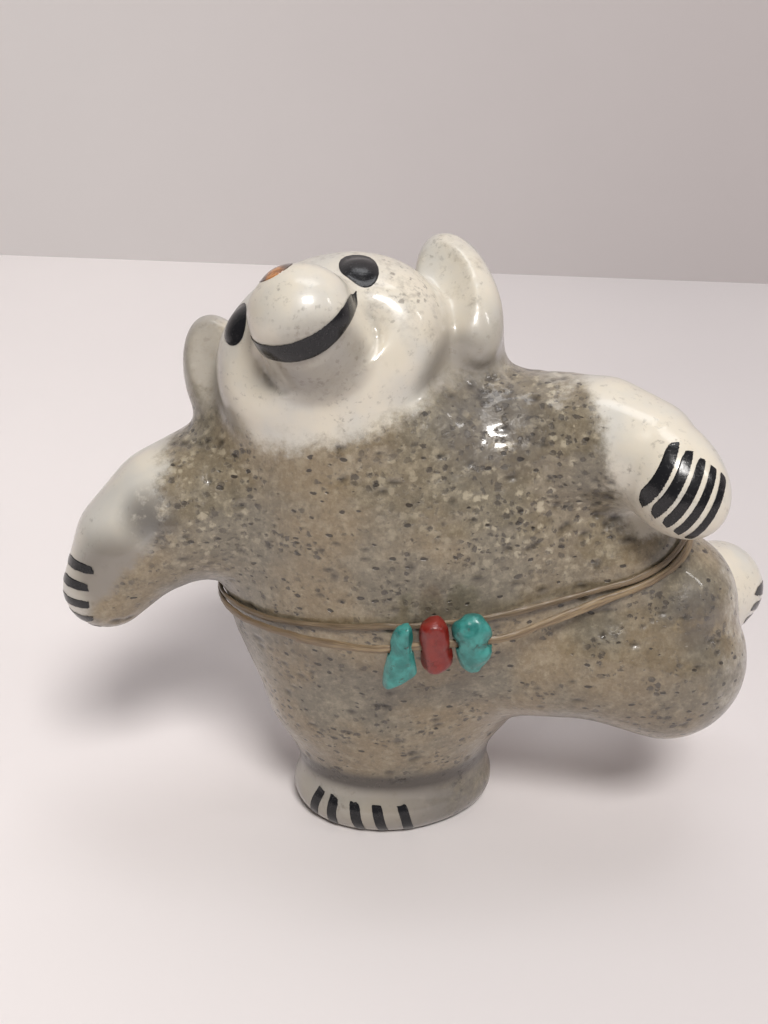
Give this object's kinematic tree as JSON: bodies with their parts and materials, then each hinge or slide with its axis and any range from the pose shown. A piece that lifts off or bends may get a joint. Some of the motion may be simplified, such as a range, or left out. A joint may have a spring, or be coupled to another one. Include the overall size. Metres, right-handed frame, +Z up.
{
  "type": "carved dancing bear figurine",
  "caption": "Small carved antler bear dancing on one foot, head thrown back, with dark inlaid face and claws and a sinew cord of stone nuggets round its waist.",
  "frame": {"origin": "middle of the flat sole of the foot that the bear stands on", "axes": "+Z up, the bear faces -Y, +X to the viewer's right along its outstretched arms"},
  "size_m": [0.0626, 0.0278, 0.0538],
  "materials": {
    "antler": "polished",
    "jet": "polished",
    "dark_shell": "polished",
    "waxed_sinew": "satin",
    "turquoise": "satin",
    "red_coral": "satin"
  },
  "bodies": {
    "figure": {"antler_body": "antler", "eye_left": "jet", "eye_right": "jet", "nose": "dark_shell", "mouth": "jet", "claw_hand_left_1": "jet", "claw_hand_left_2": "jet", "claw_hand_left_3": "jet", "claw_hand_left_4": "jet", "claw_hand_left_5": "jet", "claw_hand_right_1": "jet", "claw_hand_right_2": "jet", "claw_hand_right_3": "jet", "claw_hand_right_4": "jet", "claw_hand_right_5": "jet", "claw_foot_raised_1": "jet", "claw_foot_raised_2": "jet", "claw_foot_raised_3": "jet", "claw_foot_raised_4": "jet", "claw_foot_raised_5": "jet", "claw_foot_standing_1": "jet", "claw_foot_standing_2": "jet", "claw_foot_standing_3": "jet", "claw_foot_standing_4": "jet", "claw_foot_standing_5": "jet", "cord_lower_turn": "waxed_sinew", "cord_upper_turn": "waxed_sinew", "cord_knot": "waxed_sinew"},
    "left_turquoise": {"nugget_turquoise_left": "turquoise"},
    "coral": {"nugget_coral": "red_coral"},
    "right_turquoise": {"nugget_turquoise_right": "turquoise"}
  },
  "joints": [
    {"name": "left_turquoise_swing", "type": "hinge", "parent": "figure", "child": "left_turquoise", "pos_m": [0.0005, -0.0134, 0.0244], "axis": [0.9949, 0, 0.1013], "range_deg": [-28, 28]},
    {"name": "coral_swing", "type": "hinge", "parent": "figure", "child": "coral", "pos_m": [0.0032, -0.0134, 0.02468], "axis": [0.9949, 0, 0.1013], "range_deg": [-10, 28]},
    {"name": "right_turquoise_swing", "type": "hinge", "parent": "figure", "child": "right_turquoise", "pos_m": [0.0062, -0.0134, 0.02499], "axis": [0.9949, 0, 0.1013], "range_deg": [-12, 35]}
  ]
}
